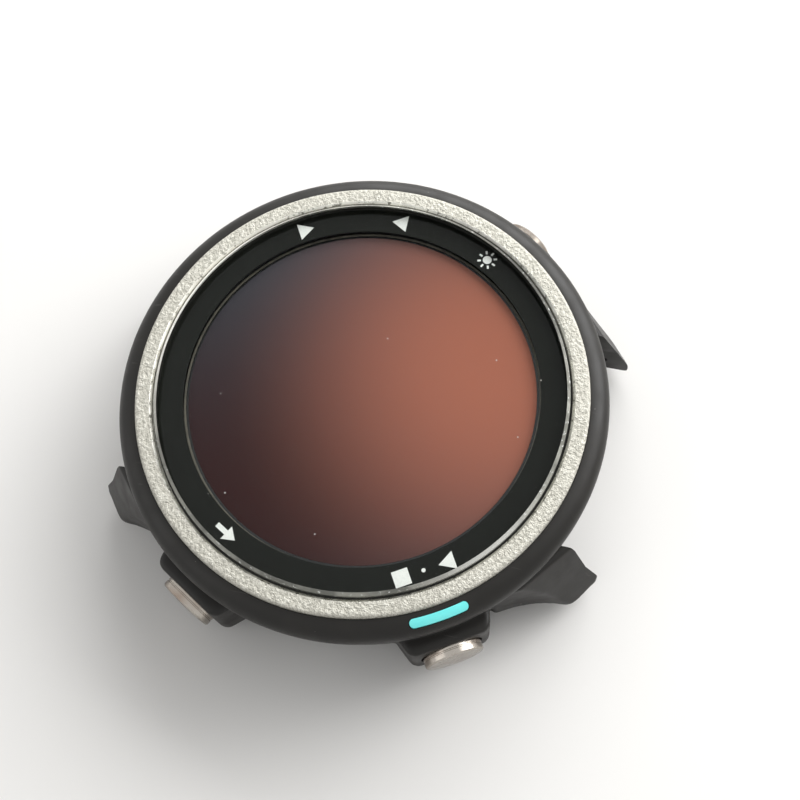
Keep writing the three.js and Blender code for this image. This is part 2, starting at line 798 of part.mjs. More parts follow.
// Cap, stem and switch pin in one steel turning, with grooves for the seal and the clip.
function buttonProfile() {
  const seal = sealWire + 0.06;
  return [
    [0, switchFace - 0.1],
    [pinR, switchFace - 0.1],
    [pinR, stemEnd],
    [stemR, stemEnd],
    [stemR, clipIn - 0.03],
    [clipGrooveR, clipIn - 0.03],
    [clipGrooveR, clipIn + clipThickness + 0.03],
    [stemR, clipIn + clipThickness + 0.03],
    [stemR, sealAt - seal],
    [sealGrooveR, sealAt - seal],
    [sealGrooveR, sealAt + seal],
    [stemR, sealAt + seal],
    [stemR, springSeat],
    [capR - capSkirt, springSeat],
    [capR - capSkirt, capBack],
    [capR, capBack],
    [capR, capFace - capDome - capEdge],
    [capR - capEdge, capFace - capDome],
    [0, capFace],
  ];
}

// The seal in its groove, a plain torus.
function sealProfile() {
  const points = [];
  for (let i = 0; i < 6; i += 1) {
    const turn = i * 60 * degrees;
    points.push([sealR + sealWire * Math.cos(turn), sealAt + sealWire * Math.sin(turn)]);
  }
  return points;
}

// The retaining clip: an open ring that snaps into the stem's groove.
function clip() {
  const shape = new THREE.Shape();
  const open = 32 * degrees;
  shape.absarc(0, 0, clipOuterR, open, 2 * Math.PI - open, false);
  shape.absarc(0, 0, clipGrooveR + 0.05, 2 * Math.PI - open, open, true);
  return raised(shape, clipIn, clipIn + clipThickness).rotateY(Math.PI / 2);
}

// The return spring: a round wire wound about the press axis, from the counterbore's floor to
// the recess under the cap.
function spring() {
  const coilR = (stemR + capR - capSkirt) / 2;
  const low = counterboreFloor + springWire + 0.05;
  const high = springSeat - springWire - 0.05;
  const points = [];
  const steps = 18;
  for (let i = 0; i <= steps; i += 1) {
    const along = i / steps;
    const turn = along * springTurns * 2 * Math.PI;
    const x = low + (high - low) * along;
    points.push(new THREE.Vector3(x, coilR * Math.cos(turn), coilR * Math.sin(turn)));
  }
  const path = new THREE.CatmullRomCurve3(points);
  const section = new THREE.Shape().absarc(0, 0, springWire, 0, 2 * Math.PI, false);
  const options = { steps, curveSegments: 3, bevelEnabled: false, extrudePath: path };
  return new THREE.ExtrudeGeometry(section, options);
}

// A side switch under the board, with a pocket that the button's pin works in.
function sideSwitch() {
  const half = switchWidth / 2;
  const low = [switchBack, -half, switchZ - buttonZ];
  const high = [switchFace, half, boardZ - seam - buttonZ];
  const pocket = turnedOnAxis([
    [0, switchBack + 0.6],
    [pinR + 0.25, switchBack + 0.6],
    [pinR + 0.25, switchFace + 1],
    [0, switchFace + 1],
  ]);
  return carved(solid(block(low, high)).subtract(solid(pocket)));
}

function addButtons() {
  for (const [name, angle] of Object.entries(buttonAngles)) {
    const station = new THREE.Group();
    station.rotation.z = angle * degrees;
    station.position.z = buttonZ;
    root.add(station);
    add(name + "_button", turnedOnAxis(buttonProfile(), small), polishedSteel, station);
    add(name + "_seal", turnedOnAxis(sealProfile()), blackRubber, station);
    add(name + "_clip", clip(), satinSteel, station);
    add(name + "_spring", spring(), satinSteel, station);
    add(name + "_switch", sideSwitch(), finish(0x1b1b1d, 0.5), station);
  }
}

add("case_body", caseBody(), blackPolymer);
addShell();
addFrontStack();
addDisplayFlex();
addElectronics();
addBatteryAndFrame();
addSensor();
addRearCover();
addContactsAndScrews();
addButtons();

export default root;
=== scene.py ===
import json
import math

import bmesh
import bpy
from mathutils import Matrix, Vector


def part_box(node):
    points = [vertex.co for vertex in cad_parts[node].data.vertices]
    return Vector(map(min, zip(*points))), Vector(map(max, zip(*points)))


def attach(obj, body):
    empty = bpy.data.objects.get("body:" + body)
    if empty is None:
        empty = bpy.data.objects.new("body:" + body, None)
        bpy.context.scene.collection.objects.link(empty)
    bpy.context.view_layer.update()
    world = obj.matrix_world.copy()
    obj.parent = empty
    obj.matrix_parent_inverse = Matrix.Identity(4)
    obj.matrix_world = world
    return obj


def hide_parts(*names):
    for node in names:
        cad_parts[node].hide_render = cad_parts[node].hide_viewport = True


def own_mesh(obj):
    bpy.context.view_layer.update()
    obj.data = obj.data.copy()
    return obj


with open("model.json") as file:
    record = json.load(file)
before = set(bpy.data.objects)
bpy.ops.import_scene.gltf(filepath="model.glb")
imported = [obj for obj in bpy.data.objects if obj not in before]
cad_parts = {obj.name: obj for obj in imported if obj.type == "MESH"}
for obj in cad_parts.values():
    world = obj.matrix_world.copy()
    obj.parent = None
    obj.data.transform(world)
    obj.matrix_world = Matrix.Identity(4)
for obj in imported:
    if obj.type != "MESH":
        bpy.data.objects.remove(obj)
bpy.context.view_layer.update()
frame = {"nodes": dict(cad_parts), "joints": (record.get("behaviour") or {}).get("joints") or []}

# ---- Camera, floor and studio light ----
# The head lies on its back on a pale table, and the camera looks down on it from beyond its three
# o'clock side. Two large soft lamps stand beyond the light button, and a weak one at six o'clock.
mm = 0.001
camera_place = Vector((33.826, 15.722, 106.587)) * mm
camera_right = Vector((-0.19679, 0.9788, -0.05669))
camera_up = Vector((-0.92302, -0.16545, 0.34736))
camera_back = Vector((0.33062, 0.12068, 0.93602))

lens = bpy.data.cameras.new("camera")
lens.lens = 54
lens.sensor_width = 36
lens.clip_start = 0.005
camera = bpy.data.objects.new("camera", lens)
turn = Matrix((camera_right, camera_up, camera_back)).transposed()
camera.matrix_world = Matrix.Translation(camera_place) @ turn.to_4x4()
bpy.context.scene.collection.objects.link(camera)
bpy.context.scene.camera = camera
bpy.context.scene.view_settings.view_transform = "Standard"


def seen_white(owner, shader, white_kind, share=None):
    """Shows plain white to the camera and in reflections, by the share given if there is one."""
    nodes = owner.node_tree.nodes
    links = owner.node_tree.links
    path = nodes.new("ShaderNodeLightPath")
    either = nodes.new("ShaderNodeMath")
    either.operation = "MAXIMUM"
    links.new(path.outputs["Is Camera Ray"], either.inputs[0])
    links.new(path.outputs["Is Glossy Ray"], either.inputs[1])
    any_of = nodes.new("ShaderNodeMath")
    any_of.operation = "MAXIMUM"
    links.new(either.outputs[0], any_of.inputs[0])
    links.new(path.outputs["Is Transmission Ray"], any_of.inputs[1])
    white = nodes.new(white_kind)
    white.inputs["Color"].default_value = (1, 1, 1, 1)
    white.inputs["Strength"].default_value = 1
    seen = nodes.new("ShaderNodeMath")
    seen.operation = "MULTIPLY"
    seen.inputs[1].default_value = 1
    links.new(any_of.outputs[0], seen.inputs[0])
    if share:
        links.new(share, seen.inputs[1])
    mix = nodes.new("ShaderNodeMixShader")
    links.new(seen.outputs[0], mix.inputs[0])
    links.new(shader, mix.inputs[1])
    links.new(white.outputs[0], mix.inputs[2])
    return mix.outputs[0]


world = bpy.data.worlds.new("studio")
world.use_nodes = True
world_nodes = world.node_tree.nodes
world_light = world_nodes["Background"]
world_light.inputs["Color"].default_value = (1, 1, 1, 1)
world_light.inputs["Strength"].default_value = 0.43
world.node_tree.links.new(
    seen_white(world, world_light.outputs[0], "ShaderNodeBackground"),
    world_nodes["World Output"].inputs["Surface"],
)
bpy.context.scene.world = world

# The floor keeps the head's shadow, and fades to white well outside it.
floor_r = 0.42
fade_start, fade_end, fade_reach = 0.10, 0.28, 0.40
floor_shape = bmesh.new()
bmesh.ops.create_circle(floor_shape, cap_ends=True, segments=96, radius=floor_r)
bmesh.ops.translate(floor_shape, vec=(0, 0, -0.01 * mm), verts=floor_shape.verts)
floor_mesh = bpy.data.meshes.new("floor")
floor_shape.to_mesh(floor_mesh)
floor_shape.free()
floor = bpy.data.objects.new("floor", floor_mesh)
bpy.context.scene.collection.objects.link(floor)
floor_paint = bpy.data.materials.new("floor")
floor_paint.use_nodes = True
floor_shader = floor_paint.node_tree.nodes["Principled BSDF"]
floor_shader.inputs["Base Color"].default_value = (0.80, 0.79, 0.77, 1)
floor_shader.inputs["Roughness"].default_value = 0.9
floor_shader.inputs["Specular IOR Level"].default_value = 0.1
floor_nodes, floor_links = floor_paint.node_tree.nodes, floor_paint.node_tree.links
floor_place = floor_nodes.new("ShaderNodeMapping")
floor_place.inputs["Scale"].default_value = (1 / fade_reach, 1 / fade_reach, 1)
floor_links.new(
    floor_nodes.new("ShaderNodeTexCoord").outputs["Object"], floor_place.inputs["Vector"]
)
from_middle = floor_nodes.new("ShaderNodeTexGradient")
from_middle.gradient_type = "SPHERICAL"
floor_links.new(floor_place.outputs["Vector"], from_middle.inputs["Vector"])
fade = floor_nodes.new("ShaderNodeMapRange")
fade.interpolation_type = "SMOOTHSTEP"
fade.inputs["From Min"].default_value = 1 - fade_start / fade_reach
fade.inputs["From Max"].default_value = 1 - fade_end / fade_reach
floor_links.new(from_middle.outputs["Fac"], fade.inputs["Value"])
floor_links.new(
    seen_white(
        floor_paint, floor_shader.outputs[0], "ShaderNodeEmission", fade.outputs["Result"]
    ),
    floor_nodes["Material Output"].inputs["Surface"],
)
floor_mesh.materials.append(floor_paint)


def lamp(name, place, width, height, watts):
    """A soft box that faces the head, its place and sides in metres."""
    light = bpy.data.lights.new(name, "AREA")
    light.shape = "RECTANGLE"
    light.size = width
    light.size_y = height
    light.energy = watts
    holder = bpy.data.objects.new(name, light)
    holder.location = place
    holder.rotation_euler = (-Vector(place)).to_track_quat("-Z", "Y").to_euler()
    bpy.context.scene.collection.objects.link(holder)


lamp("key_lamp", (-0.22, 0.30, 0.28), 0.42, 0.36, 1.0)
lamp("window_lamp", (-0.34, 0.14, 0.20), 0.70, 0.28, 3.3)
lamp("fill_lamp", (0.12, -0.34, 0.26), 0.30, 0.30, 0.25)


# ---- Case ----
# The case is one moulding of black glass-filled polymer: a barrel with four strap lugs and five
# button housings. Its edges are rounded by the mould and its skin has a fine satin texture.
def corners(node):
    """The lowest and highest corners of a CAD node, in millimetres to a hundredth."""
    return [tuple(round(v / mm, 2) for v in corner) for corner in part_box(node)]


def middle(node):
    """The middle of a CAD node's box, in millimetres."""
    low, high = corners(node)
    return [(a + b) / 2 for a, b in zip(low, high)]


case_low, case_high = corners("case_body")
case_top = case_high[2]
foot_z = 1.3
foot_r = 18.4
waist_r, waist_z = 20.2, 3.5
barrel_r = case_high[0]
lug_tip = case_high[1]
strap_half = 10
strap_wall = 18.3
bar_hole_r = 0.55
guard_face = -case_low[0]
guard_low, guard_high = 1.45, 7.8
button_z = middle("up_button")[2]
button_angles = {}
for joint in frame["joints"]:
    x, y, _ = joint["axis"]
    turns = round(math.degrees(math.atan2(-y, -x)), 1) % 360
    button_angles[joint["name"].removesuffix("_press")] = turns
bore_r = 1.3
clip_room_r, clip_face = 2.3, 16.6
counterbore_r, counterbore_floor = 2.725, 20.3
cavity_r = 16.4
cover_recess_r = 17.1
shell_seat_r, shell_seat_z = 16.9, 8.25
rear_seat = round(corners("rear_gasket")[1][2] + 0.02, 2)
boss_top = 6.47
shank_hole_r = 0.75
screw_places = [middle(f"rear_screw_{i}") for i in (1, 2, 3, 4)]
screw_r = round(math.hypot(*screw_places[0][:2]), 1)
screw_angles = [round(math.degrees(math.atan2(y, x))) % 360 for x, y, _ in screw_places]


def curve(start, bend, end, steps=8):
    """Points along a quadratic curve, its start left out."""
    start, bend, end = Vector(start), Vector(bend), Vector(end)
    along = [i / steps for i in range(1, steps + 1)]
    return [(1 - t) ** 2 * start + 2 * t * (1 - t) * bend + t * t * end for t in along]


def spun(profile, steps=256, closed=False):
    """A profile of (radius, z) points turned about Z. A profile off the axis closes on itself."""
    shape = bmesh.new()
    points = [shape.verts.new((p[0], 0, p[1])) for p in profile]
    pairs = list(zip(points, points[1:]))
    if closed:
        pairs.append((points[-1], points[0]))
    edges = [shape.edges.new(pair) for pair in pairs]
    bmesh.ops.spin(
        shape,
        geom=points + edges,
        cent=(0, 0, 0),
        axis=(0, 0, 1),
        angle=2 * math.pi,
        steps=steps,
        use_merge=True,
    )
    bmesh.ops.remove_doubles(shape, verts=shape.verts, dist=1e-4)
    bmesh.ops.recalc_face_normals(shape, faces=shape.faces)
    return shape


def raised(outline, low, high):
    """A flat outline extruded from one level to another."""
    shape = bmesh.new()
    face = shape.faces.new([shape.verts.new((p[0], p[1], low)) for p in outline])
    made = bmesh.ops.extrude_face_region(shape, geom=[face])["geom"]
    tops = [v for v in made if isinstance(v, bmesh.types.BMVert)]
    bmesh.ops.translate(shape, verts=tops, vec=(0, 0, high - low))
    bmesh.ops.recalc_face_normals(shape, faces=shape.faces)
    return shape


def block(low, high):
    """A box between two corners."""
    outline = [(low[0], low[1]), (high[0], low[1]), (high[0], high[1]), (low[0], high[1])]
    return raised(outline, low[2], high[2])


def eased(shape, width):
    """Rounds every edge that turns by more than 35 degrees."""
    limit = math.radians(35)
    sharp = [e for e in shape.edges if e.is_manifold and e.calc_face_angle() > limit]
    bmesh.ops.bevel(
        shape,
        geom=sharp,
        offset=width,
        segments=3,
        profile=0.5,
        affect="EDGES",
        clamp_overlap=True,
        material=-1,
    )
    return shape


def sliced(shape, point, normal):
    """Cuts off what lies beyond a plane and closes the cut."""
    geom = shape.verts[:] + shape.edges[:] + shape.faces[:]
    cut = bmesh.ops.bisect_plane(
        shape, geom=geom, dist=1e-5, plane_co=point, plane_no=normal, clear_outer=True
    )["geom_cut"]
    rim = [e for e in cut if isinstance(e, bmesh.types.BMEdge)]
    bmesh.ops.contextual_create(shape, geom=rim)
    bmesh.ops.recalc_face_normals(shape, faces=shape.faces)
    return shape


def turned(shape, degrees, lift=0.0):
    """The shape turned about Z and lifted."""
    matrix = Matrix.Translation((0, 0, lift)) @ Matrix.Rotation(math.radians(degrees), 4, "Z")
    bmesh.ops.transform(shape, matrix=matrix, verts=shape.verts)
    return shape


def along_x(shape):
    """A shape built about Z, laid down along X."""
    bmesh.ops.transform(shape, matrix=Matrix.Rotation(math.pi / 2, 4, "Y"), verts=shape.verts)
    return shape


def reshaped(shape, *changes):
    """The shape after modifiers, each given as its type and its settings."""
    mesh = bpy.data.meshes.new("work")
    shape.to_mesh(mesh)
    shape.free()
    work = bpy.data.objects.new("work", mesh)
    bpy.context.scene.collection.objects.link(work)
    for kind, settings in changes:
        change = work.modifiers.new(kind.lower(), kind)
        for key, value in settings.items():
            setattr(change, key, value)
    bpy.context.view_layer.update()
    made = bmesh.new()
    made.from_object(work, bpy.context.evaluated_depsgraph_get())
    bpy.data.objects.remove(work)
    bpy.data.meshes.remove(mesh)
    return made


def combined(first, operation, *others):
    """A closed shape joined to, cut by or kept inside others: UNION, DIFFERENCE or INTERSECT."""
    for other in others:
        mesh = bpy.data.meshes.new("tool")
        other.to_mesh(mesh)
        other.free()
        tool = bpy.data.objects.new("tool", mesh)
        bpy.context.scene.collection.objects.link(tool)
        settings = {"operation": operation, "object": tool, "solver": "EXACT"}
        first = reshaped(first, ("BOOLEAN", settings))
        bpy.data.objects.remove(tool)
        bpy.data.meshes.remove(mesh)
    return first


def piece(name, shape, body, slot, material, *replaced, smooth=30):
    """The finished piece, in metres, on its body, standing for its CAD nodes."""
    bmesh.ops.remove_doubles(shape, verts=shape.verts, dist=0.002)
    bmesh.ops.dissolve_degenerate(shape, edges=shape.edges, dist=0.002)
    bmesh.ops.holes_fill(shape, edges=[e for e in shape.edges if e.is_boundary])
    bmesh.ops.scale(shape, vec=(mm, mm, mm), verts=shape.verts)
    mesh = bpy.data.meshes.new(name)
    shape.to_mesh(mesh)
    shape.free()
    mesh.polygons.foreach_set("use_smooth", [True] * len(mesh.polygons))
    mesh.set_sharp_from_angle(angle=math.radians(smooth))
    for each in material if isinstance(material, (list, tuple)) else [material]:
        mesh.materials.append(each)
    made = bpy.data.objects.new(name, mesh)
    bpy.context.scene.collection.objects.link(made)
    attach(made, body)
    if replaced:
        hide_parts(*replaced)
    return made


class Finish:
    """A material on object coordinates, with the detail that its surface shows."""

    def __init__(self, name, colour, roughness, metallic=0.0, specular=0.5):
        self.material = bpy.data.materials.new(name)
        self.material.use_nodes = True
        self.nodes = self.material.node_tree.nodes
        self.links = self.material.node_tree.links
        self.shader = self.nodes["Principled BSDF"]
        self.place = self.nodes.new("ShaderNodeTexCoord").outputs["Object"]
        self.colour = (*colour, 1)
        self.normal = None
        self.shader.inputs["Metallic"].default_value = metallic
        self.shader.inputs["Roughness"].default_value = roughness
        self.shader.inputs["Specular IOR Level"].default_value = specular
        self.shader.inputs["Base Color"].default_value = self.colour

    def stretched(self, scale):
        """Coordinates with each axis scaled, for brushing and scratches."""
        mapping = self.nodes.new("ShaderNodeMapping")
        mapping.inputs["Scale"].default_value = scale
        self.links.new(self.place, mapping.inputs["Vector"])
        return mapping.outputs["Vector"]

    def noise(self, size, detail=3.0, rough=0.5, place=None):
        """Cloudy noise with features of about that size in millimetres."""
        node = self.nodes.new("ShaderNodeTexNoise")
        node.inputs["Scale"].default_value = 1 / (size * mm)
        node.inputs["Detail"].default_value = detail
        node.inputs["Roughness"].default_value = rough
        self.links.new(place or self.place, node.inputs["Vector"])
        return node.outputs["Fac"]

    def cells(self, size, feature="F1"):
        """Scattered cells of about that size in millimetres."""
        node = self.nodes.new("ShaderNodeTexVoronoi")
        node.feature = feature
        node.inputs["Scale"].default_value = 1 / (size * mm)
        self.links.new(self.place, node.inputs["Vector"])
        return node

    def spread(self, value, low, high, to_low=0.0, to_high=1.0):
        """The value between two limits, spread over another pair."""
        node = self.nodes.new("ShaderNodeMapRange")
        self.links.new(value, node.inputs["Value"])
        node.inputs["From Min"].default_value = low
        node.inputs["From Max"].default_value = high
        node.inputs["To Min"].default_value = to_low
        node.inputs["To Max"].default_value = to_high
        return node.outputs["Result"]

    def times(self, first, second):
        """One share multiplied by another."""
        node = self.nodes.new("ShaderNodeMath")
        node.operation = "MULTIPLY"
        self.links.new(first, node.inputs[0])
        self.links.new(second, node.inputs[1])
        return node.outputs[0]

    def tint(self, share, colour):
        """Mixes another colour into the surface's by the share given."""
        node = self.nodes.new("ShaderNodeMix")
        node.data_type = "RGBA"
        self.links.new(share, node.inputs["Factor"])
        socket = self.shader.inputs["Base Color"]
        if socket.is_linked:
            self.links.new(socket.links[0].from_socket, node.inputs["A"])
        else:
            node.inputs["A"].default_value = self.colour
        node.inputs["B"].default_value = (*colour, 1)
        self.links.new(node.outputs["Result"], socket)
        return self

    def dulled(self, value):
        """Takes the roughness from a value that changes over the surface."""
        self.links.new(value, self.shader.inputs["Roughness"])
        return self

    def bump(self, height, depth):
        """Raises the surface by up to that depth in millimetres."""
        node = self.nodes.new("ShaderNodeBump")
        node.inputs["Distance"].default_value = depth * mm
        node.inputs["Strength"].default_value = 1
        self.links.new(height, node.inputs["Height"])
        if self.normal:
            self.links.new(self.normal, node.inputs["Normal"])
        self.normal = node.outputs["Normal"]
        self.links.new(self.normal, self.shader.inputs["Normal"])
        return self

    def near(self, middle, reach):
        """A soft round share, full at a point and gone at its reach, in millimetres."""
        place = self.nodes.new("ShaderNodeMapping")
        place.inputs["Location"].default_value = (-middle[0] / reach, -middle[1] / reach, 0)
        place.inputs["Scale"].default_value = (1 / (reach * mm), 1 / (reach * mm), 0)
        self.links.new(self.place, place.inputs["Vector"])
        fade = self.nodes.new("ShaderNodeTexGradient")
        fade.gradient_type = "SPHERICAL"
        self.links.new(place.outputs["Vector"], fade.inputs["Vector"])
        smooth = self.nodes.new("ShaderNodeMapRange")
        smooth.interpolation_type = "SMOOTHERSTEP"
        self.links.new(fade.outputs["Fac"], smooth.inputs["Value"])
        return smooth.outputs["Result"]

    def dust(self, spacing, size, colour=(0.55, 0.53, 0.48), share=0.35):
        """Small pale specks, in some of the cells of a scattered grid."""
        cells = self.cells(spacing)
        near = self.spread(cells.outputs["Distance"], size / spacing, size / spacing * 0.5)
        split = self.nodes.new("ShaderNodeSeparateColor")
        self.links.new(cells.outputs["Color"], split.inputs["Color"])
        chosen = self.spread(split.outputs["Red"], 1 - share, 1 - share + 0.01)
        return self.tint(self.times(near, chosen), colour)


def moulded_polymer(name):
    """Black glass-filled polymer: satin, very finely grained, with specks and light rubbing."""
    skin = Finish(name, (0.0095, 0.0085, 0.0070), 0.42, specular=0.28)
    skin.bump(skin.noise(0.11, 2.0), 0.006)
    skin.bump(skin.noise(0.9, 3.0), 0.012)
    skin.dulled(skin.spread(skin.noise(2.2), 0.3, 0.7, 0.36, 0.50))
    scratches = skin.noise(0.35, 2.0, place=skin.stretched((1, 0.06, 0.3)))
    skin.tint(skin.spread(scratches, 0.70, 0.78, 0, 0.35), (0.09, 0.088, 0.08))
    skin.tint(skin.spread(skin.noise(5, 4), 0.5, 0.75, 0, 0.5), (0.022, 0.020, 0.017))
    skin.dust(2.4, 0.075)
    skin.dust(0.9, 0.03, share=0.2)
    return skin.material


black_polymer = moulded_polymer("black_polymer")


def barrel():
    """The round body, widening in two slow curves from its foot to the parting line."""
    wall = [Vector(p) for p in ((0, foot_z), (foot_r, foot_z))]
    wall += curve((foot_r, foot_z), (waist_r - 0.45, foot_z), (waist_r, waist_z), 10)
    wall += curve((waist_r, waist_z), (barrel_r - 0.05, 5.6), (barrel_r, case_top), 10)
    wall.append(Vector((0, case_top)))
    return spun(wall, 160)


def button_guard(angle):
    """A housing that narrows towards its button."""
    root_half, face_half, corner = 4.225, 2.775, 0.5
    neck = (guard_face - corner, face_half + 0.85)
    side = [Vector(p) for p in ((14, root_half), (19.7, root_half), neck)]
    side += curve(neck, (guard_face, face_half + corner), (guard_face, face_half), 6)
    outline = side + [Vector((p.x, -p.y)) for p in reversed(side)]
    return turned(eased(raised(outline, guard_low, guard_high), 0.3), angle)


def strap_lug(sx, sy):
    """A lug whose foot drops a little to its tip, and whose flank slopes down from the shell."""
    root_y = lug_tip - 8.3
    plan = [Vector(p) for p in ((9, root_y - 4), (9, lug_tip), (10.1, lug_tip))]
    plan += curve((10.1, lug_tip), (10.4, lug_tip), (10.8, lug_tip - 0.4), 4)
    plan.append(Vector((12.3, 21.1)))
    plan += curve((12.3, 21.1), (12.9, 20.6), (12.9, 19.7), 5)
    plan += curve((12.9, 19.7), (13, 17.2), (14.9, root_y), 8)
    plan.append(Vector((10, root_y - 4)))
    lug = raised(plan, 0, case_top - 0.1)
    sliced(lug, (9.6, 19.54, 9.1), Vector((1.7, 2.05, 1)).normalized())
    for slope in (0.046, 0.1):
        sliced(lug, (0, 18.9, foot_z), Vector((0, -slope, -1)).normalized())
    eased(lug, 0.28)
    bmesh.ops.scale(lug, vec=(sx, sy, 1), verts=lug.verts)
    bmesh.ops.recalc_face_normals(lug, faces=lug.faces)
    return lug


def strap_recess(side):
    """The gap for the strap's end, a little narrower under the shell."""
    wide, narrow = strap_half, strap_half - 0.4
    under, lean_low, lean_high, over = -1, 5, 8.2, 12
    flank = [(wide, under), (wide, lean_low), (narrow, lean_high), (narrow, over)]
    section = [(-wide, under), *flank, (-narrow, over), (-narrow, lean_high), (-wide, lean_low)]
    gap = raised(section, strap_wall, lug_tip + 1)
    stand = Matrix(((1, 0, 0, 0), (0, 0, 1, 0), (0, 1, 0, 0), (0, 0, 0, 1)))
    bmesh.ops.transform(gap, matrix=stand, verts=gap.verts)
    bmesh.ops.scale(gap, vec=(1, side, 1), verts=gap.verts)
    bmesh.ops.recalc_face_normals(gap, faces=gap.faces)
    return gap


def button_hole(angle):
    """Counterbore for the cap, bore for the stem, and a spot face inside for the clip."""
    inner, outer = 13.9, guard_face + 1.5
    steps = [(0, inner), (clip_room_r, inner), (clip_room_r, clip_face), (bore_r, clip_face)]
    steps += [(bore_r, counterbore_floor), (counterbore_r, counterbore_floor)]
    steps += [(counterbore_r, outer), (0, outer)]
    return turned(along_x(spun(steps, 64)), angle, button_z)


def screw_hole(angle, radius, low, high):
    """A round tool on one screw's centre line."""
    hole = spun([(0, low), (radius, low), (radius, high), (0, high)], 32)
    bmesh.ops.translate(hole, vec=(screw_r, 0, 0), verts=hole.verts)
    return turned(hole, angle)


def screw_boss(angle):
    """A post with its screw hole, joined to the case wall by a web."""
    post_r, web_half = 1.6, 1.2
    post = screw_hole(0, post_r, rear_seat, boss_top)
    web = block((screw_r, -web_half, rear_seat), (cavity_r + 0.3, web_half, boss_top))
    boss = combined(post, "UNION", web)
    return turned(combined(boss, "DIFFERENCE", screw_hole(0, shank_hole_r, 2, 5)), angle)


def bar_hole(side):
    """The blind holes for a spring bar, in both lugs of one pair."""
    reach, inset, height = strap_half + 1.2, 2.6, 3
    rod = [(0, -reach), (bar_hole_r, -reach), (bar_hole_r, reach), (0, reach)]
    hole = along_x(spun(rod, 32))
    bmesh.ops.translate(hole, vec=(0, side * (lug_tip - inset), height), verts=hole.verts)
    return hole


lugs = [strap_lug(sx, sy) for sx in (1, -1) for sy in (1, -1)]
guards = [button_guard(angle) for angle in button_angles.values()]
case = combined(barrel(), "UNION", *lugs, *guards)
case = reshaped(
    case,
    ("REMESH", {"mode": "VOXEL", "voxel_size": 0.16}),
    ("SMOOTH", {"factor": 0.5, "iterations": 10}),
)
hollow = [(0, 0.3), (cover_recess_r, 0.3), (cover_recess_r, rear_seat), (cavity_r, rear_seat)]
hollow += [(cavity_r, shell_seat_z), (shell_seat_r, shell_seat_z)]
hollow += [(shell_seat_r, case_top + 1.02), (0, case_top + 1.02)]
cavity = combined(spun(hollow), "DIFFERENCE", *[screw_boss(a) for a in screw_angles])
cavity = combined(cavity, "UNION", *[button_hole(a) for a in button_angles.values()])
case = combined(case, "DIFFERENCE", strap_recess(1), strap_recess(-1))
case = combined(case, "DIFFERENCE", cavity, bar_hole(1), bar_hole(-1))
piece("case_moulding", case, "head", "case_polymer", black_polymer, "case_body")


# ---- Upper shell and colour bar ----
# A second black moulding closes the case. Its shoulder curves from the ring to the parting line,
# and a turquoise plastic bar is pressed into a pocket in it beside the start button.
shell_low, shell_high = corners("upper_shell")
parting_z = 9.2
shoulder_r = shell_high[0]
shoulder_z = 9.9
shoulder_centre = 19.26
shoulder_rise = round(shell_high[2] - shoulder_z, 2)
ring_wall, ring_floor = 19.46, 10.9
shell_inner, spigot_r = 16.3, 16.75
glass_wall, glass_floor = 17.92, 11.10
bar_low = corners("accent_bar")[0][2]
bar_r = 20.25
bar_half = 0.35
bar_span = 14
bar_angle = 30


def shoulder(lift=0.0, steps=28, first=0):
    """Points up the shoulder's quarter ellipse."""
    made = []
    reach = math.acos((ring_wall - shoulder_centre) / (shoulder_r - shoulder_centre))
    for i in range(first, steps + 1):
        t = reach * i / steps
        r = shoulder_centre + (shoulder_r - shoulder_centre + lift) * math.cos(t)
        made.append((r, shoulder_z + (shoulder_rise + lift) * math.sin(t)))
    return made


def polar(radius, angle):
    """A point in plan, at an angle in radians."""
    return Vector((radius * math.cos(angle), radius * math.sin(angle)))


def stadium(grow):
    """The bar's outline bent round the centre, with round ends."""
    half = bar_half + grow
    turn = math.radians(bar_span / 2) - bar_half / bar_r
    outline = []
    for side, start in ((1, turn), (-1, math.pi - turn)):
        outline += [polar(bar_r + side * half, side * turn * (i / 16 - 1)) for i in range(33)]
        end = polar(bar_r, side * turn)
        outline += [end + polar(half, start + math.pi * i / 16) for i in range(1, 16)]
    return outline


lip = (shoulder_r - 0.22, parting_z)
skin = [(shell_inner, shell_low[2]), (spigot_r, shell_low[2]), (spigot_r, parting_z), lip]
skin += [tuple(p) for p in curve(lip, (21.1, 9.22), (21.13, 9.45), 5)]
skin += shoulder()
skin += [(ring_wall, ring_floor), (glass_wall, ring_floor)]
skin += [(glass_wall, glass_floor), (shell_inner, glass_floor)]
shell = spun(skin, 320, closed=True)
pocket = turned(raised(stadium(0.06), bar_low - 0.05, 13), bar_angle)
shell = combined(shell, "DIFFERENCE", pocket)
shell_polymer = moulded_polymer("shell_polymer")
piece("shell_moulding", shell, "head", "case_polymer", shell_polymer, "upper_shell", smooth=25)

proud = shoulder(0.05, 40, 2)
bar_skin = spun([(18.9, shoulder_z), (shoulder_r, shoulder_z), *proud, (18.9, 11.5)], 320, True)
bar = combined(turned(raised(stadium(0), bar_low, 13), bar_angle), "INTERSECT", bar_skin)
turquoise = Finish("turquoise_plastic", (0.18, 0.90, 0.88), 0.34)
turquoise.bump(turquoise.noise(0.12, 2.0), 0.003)
turquoise.tint(turquoise.spread(turquoise.noise(1.1), 0.35, 0.75, 0, 0.35), (0.32, 0.97, 0.94))
turquoise.dust(0.9, 0.03, (0.75, 0.9, 0.9))
piece("colour_bar", bar, "head", "accent", turquoise.material, "accent_bar")


